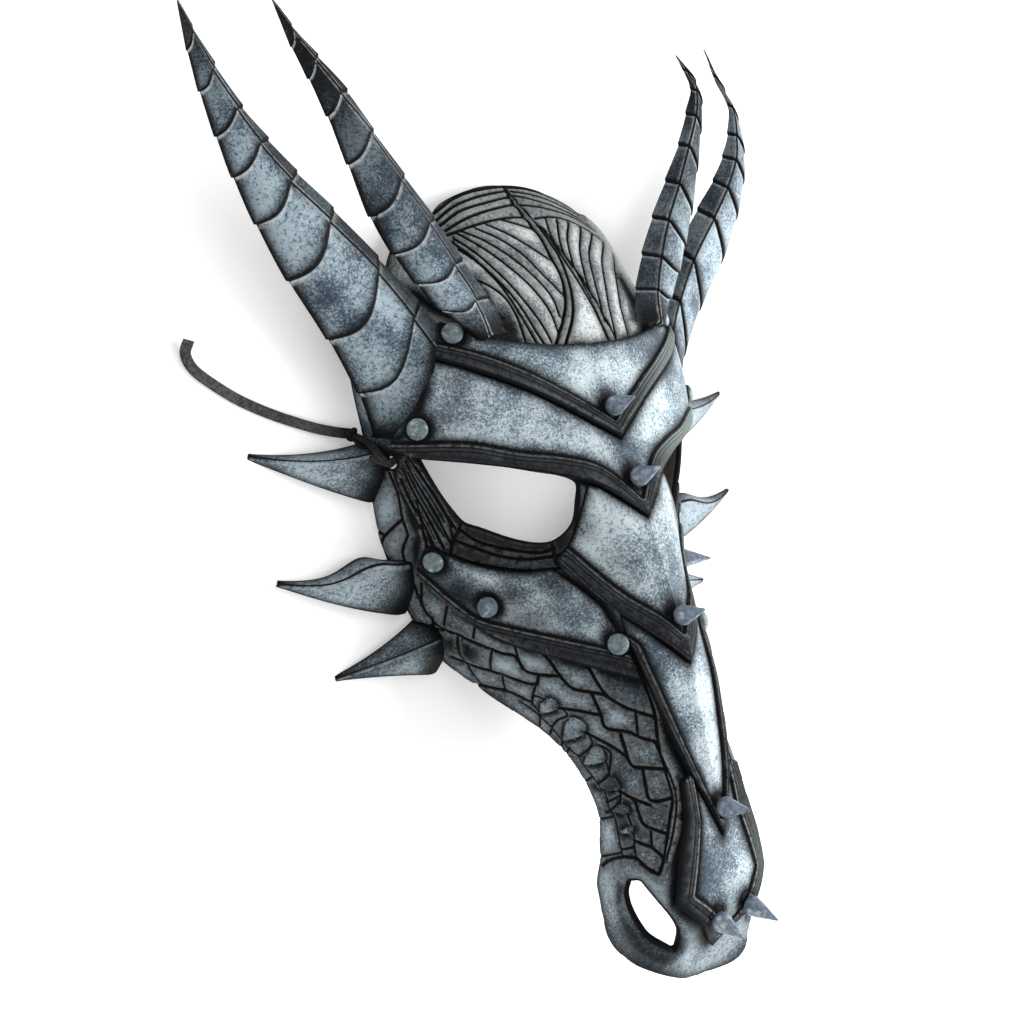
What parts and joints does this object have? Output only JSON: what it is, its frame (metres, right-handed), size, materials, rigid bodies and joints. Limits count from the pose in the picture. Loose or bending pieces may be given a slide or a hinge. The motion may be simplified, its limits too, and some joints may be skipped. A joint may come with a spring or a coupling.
{
  "type": "leather dragon mask",
  "caption": "Moulded leather half mask of a dragon with a long hollow snout, riveted armour plates, folded scaled horns, a tooled crown, side spikes, cone studs and a tie lace.",
  "frame": {"origin": "on the surface the mask lies on, under the middle of its outline without the lace", "axes": "+Y toward the horn tips, +Z the way the mask looks, +X toward its wearer's left"},
  "size_m": [0.3172, 0.4179, 0.1159],
  "materials": {
    "plate_leather": "silver-blue acrylic over black, sponged and antiqued, satin",
    "face_leather": "dark blue-grey, antiqued black in the tooling, satin",
    "crown_leather": "grey-green with black tooled lines, satin",
    "horn_leather": "silver-grey scales with black edges, satin",
    "rivet_metal": "aged nickel, dulled",
    "cone_metal": "gunmetal, satin",
    "lace_leather": "black thong, matt"
  },
  "bodies": {
    "root": {"brow_plate_upper": "plate_leather", "brow_plate_lower": "plate_leather", "nose_plate": "plate_leather", "ridge_plate": "plate_leather", "snout_plate": "plate_leather", "cheek_plate_left": "plate_leather", "cheek_plate_right": "plate_leather", "face_shell": "face_leather", "crown": "crown_leather", "horn_outer_left": "horn_leather", "horn_inner_left": "horn_leather", "horn_outer_right": "horn_leather", "horn_inner_right": "horn_leather", "rivet_brow_upper_left": "rivet_metal", "rivet_brow_lower_left": "rivet_metal", "rivet_cheek_outer_left": "rivet_metal", "rivet_cheek_inner_left": "rivet_metal", "rivet_brow_upper_right": "rivet_metal", "rivet_brow_lower_right": "rivet_metal", "rivet_cheek_outer_right": "rivet_metal", "rivet_cheek_inner_right": "rivet_metal", "cone_snout_left": "cone_metal", "cone_cheek_left": "cone_metal", "cone_snout_right": "cone_metal", "cone_cheek_right": "cone_metal", "cone_brow": "cone_metal", "cone_eye": "cone_metal", "cone_nose": "cone_metal", "cone_ridge": "cone_metal", "lace_right": "lace_leather", "lace_knot_right": "lace_leather"}
  },
  "joints": []
}
